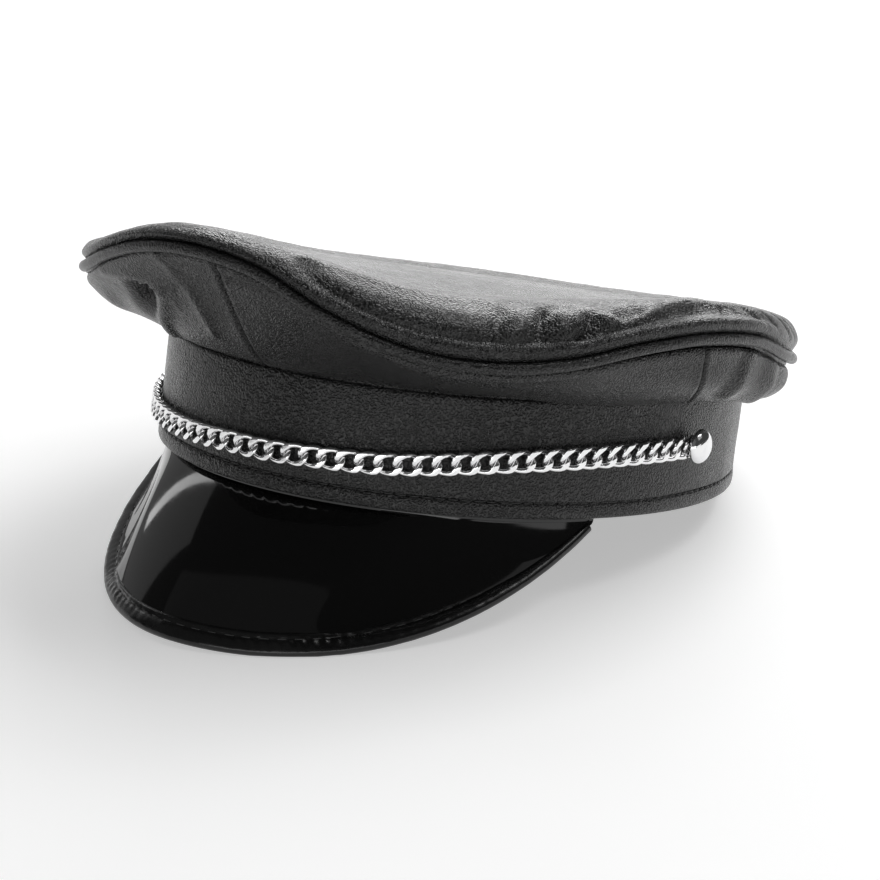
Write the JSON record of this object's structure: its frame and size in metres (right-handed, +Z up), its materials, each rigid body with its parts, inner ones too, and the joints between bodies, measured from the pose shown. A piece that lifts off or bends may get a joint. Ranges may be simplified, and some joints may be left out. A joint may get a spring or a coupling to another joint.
{
  "type": "police cap",
  "caption": "Black leather peaked cap with a soft, full crown, piped top edge, glossy patent peak and a polished curb chain between two side studs.",
  "frame": {"origin": "on the floor, under the centre of the cap's box in plan", "axes": "+Z up, -Y out over the peak, +X towards the wearer's left; the cap is tipped back as it rests"},
  "size_m": [0.2094, 0.262, 0.1222],
  "materials": {
    "grained_leather": "black pebble-grained leather with a soft sheen",
    "patent_leather": "black patent leather with a mirror gloss",
    "polished_metal": "polished nickel or chrome plate"
  },
  "bodies": {
    "root": {"band": "grained_leather", "quarter_front_left": "grained_leather", "quarter_back_left": "grained_leather", "quarter_back_right": "grained_leather", "quarter_front_right": "grained_leather", "crown_top": "grained_leather", "piping": "grained_leather", "peak": "patent_leather", "peak_binding": "patent_leather", "chain": "polished_metal", "stud_left": "polished_metal", "stud_right": "polished_metal"}
  },
  "joints": []
}
